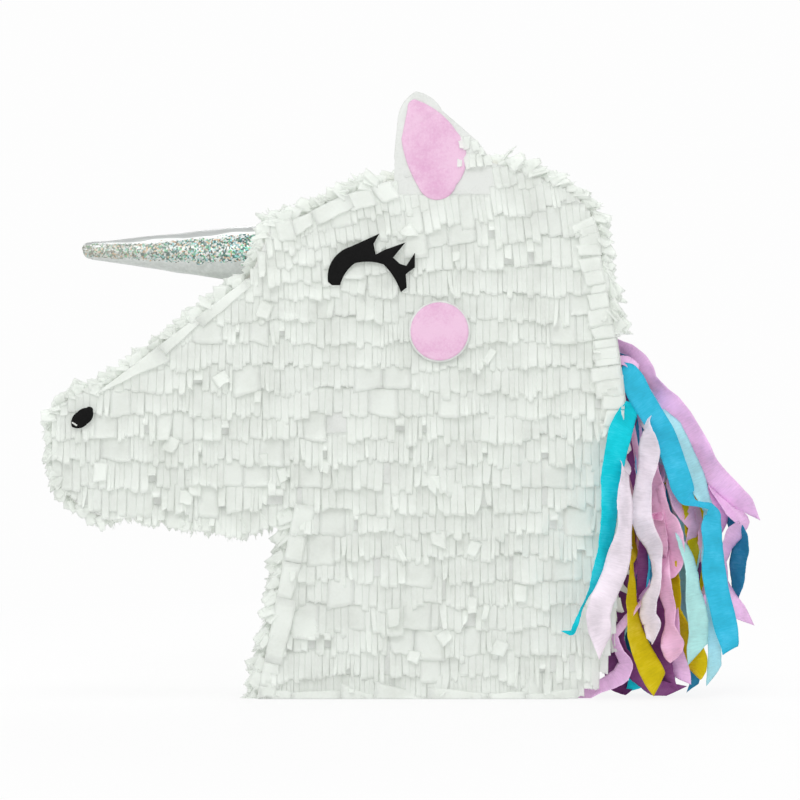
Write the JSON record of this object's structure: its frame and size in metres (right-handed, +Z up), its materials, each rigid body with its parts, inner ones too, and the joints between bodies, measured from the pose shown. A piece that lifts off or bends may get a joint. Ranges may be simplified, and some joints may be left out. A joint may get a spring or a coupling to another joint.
{
  "type": "pinata",
  "caption": "Flat standing pinata shaped as a unicorn head: card shell with white tissue fringe, foil horn, crepe mane, filling door and hanging loop.",
  "frame": {"origin": "centre of the flat neck base, on its rest plane", "axes": "+X from the snout towards the mane, +Y from the decorated near side to the far side, +Z up"},
  "size_m": [0.4314, 0.0954, 0.3676],
  "materials": {
    "card": "matte corrugated card",
    "white_tissue": "matte tissue fringe, mostly air",
    "white_sheet": "matte paper",
    "pink_tissue": "matte tissue",
    "black_card": "satin card",
    "holographic_foil": "mirror-like foil with fine rainbow flecks",
    "cotton_cord": "twisted cotton",
    "crepe_lilac": "matte crepe paper",
    "crepe_sky": "matte crepe paper",
    "crepe_turquoise": "matte crepe paper",
    "crepe_pale_pink": "matte crepe paper",
    "crepe_aqua": "matte crepe paper",
    "crepe_pink": "matte crepe paper",
    "crepe_mustard": "matte crepe paper",
    "crepe_mint": "matte crepe paper",
    "crepe_teal": "matte crepe paper",
    "crepe_purple": "matte crepe paper"
  },
  "bodies": {
    "root": {"front_panel": "card", "back_panel": "card", "throat_band": "card", "jaw_band": "card", "muzzle_band": "card", "nose_band": "card", "horn_seat_band": "card", "brow_band": "card", "crown_band": "card", "nape_band": "card", "base_band": "card", "front_glue_tabs": "card", "back_glue_tabs": "card", "horn_seat_plate": "card", "horn_cone": "card", "cord_anchor": "card", "front_fringe": "white_tissue", "back_fringe": "white_tissue", "throat_fringe": "white_tissue", "jaw_fringe": "white_tissue", "muzzle_fringe": "white_tissue", "nose_fringe": "white_tissue", "brow_fringe": "white_tissue", "crown_fringe": "white_tissue", "nape_cover": "white_sheet", "base_cover": "white_sheet", "front_ear_cover": "white_sheet", "back_ear_cover": "white_sheet", "mane_root": "white_sheet", "front_cheek_backing": "white_sheet", "back_cheek_backing": "white_sheet", "front_ear_inner": "pink_tissue", "back_ear_inner": "pink_tissue", "front_cheek": "pink_tissue", "back_cheek": "pink_tissue", "front_eye": "black_card", "back_eye": "black_card", "front_nostril": "black_card", "back_nostril": "black_card", "horn_film": "holographic_foil", "horn_tip": "holographic_foil", "cord_tail": "cotton_cord"},
    "fill_door": {"fill_door": "card", "door_fringe": "white_tissue"},
    "hanging_loop": {"hanging_loop": "cotton_cord"},
    "mane": {"mane_lilac": "crepe_lilac", "mane_sky": "crepe_sky", "mane_turquoise": "crepe_turquoise", "mane_pale_pink": "crepe_pale_pink", "mane_aqua": "crepe_aqua", "mane_pink": "crepe_pink", "mane_mustard": "crepe_mustard", "mane_mint": "crepe_mint", "mane_teal": "crepe_teal", "mane_purple": "crepe_purple"}
  },
  "joints": [
    {"name": "door_crease", "type": "hinge", "parent": "root", "child": "fill_door", "pos_m": [0.02, 0.038, 0.145], "axis": [1, 0, 0], "range_deg": [0, 100]},
    {"name": "loop_swing", "type": "hinge", "parent": "root", "child": "hanging_loop", "pos_m": [-0.026, 0, 0.31162], "axis": [0, 1, 0], "range_deg": [0, 112]},
    {"name": "mane_swing", "type": "hinge", "parent": "root", "child": "mane", "pos_m": [0.124, 0, 0.219], "axis": [0, -1, 0], "range_deg": [0, 35]}
  ]
}
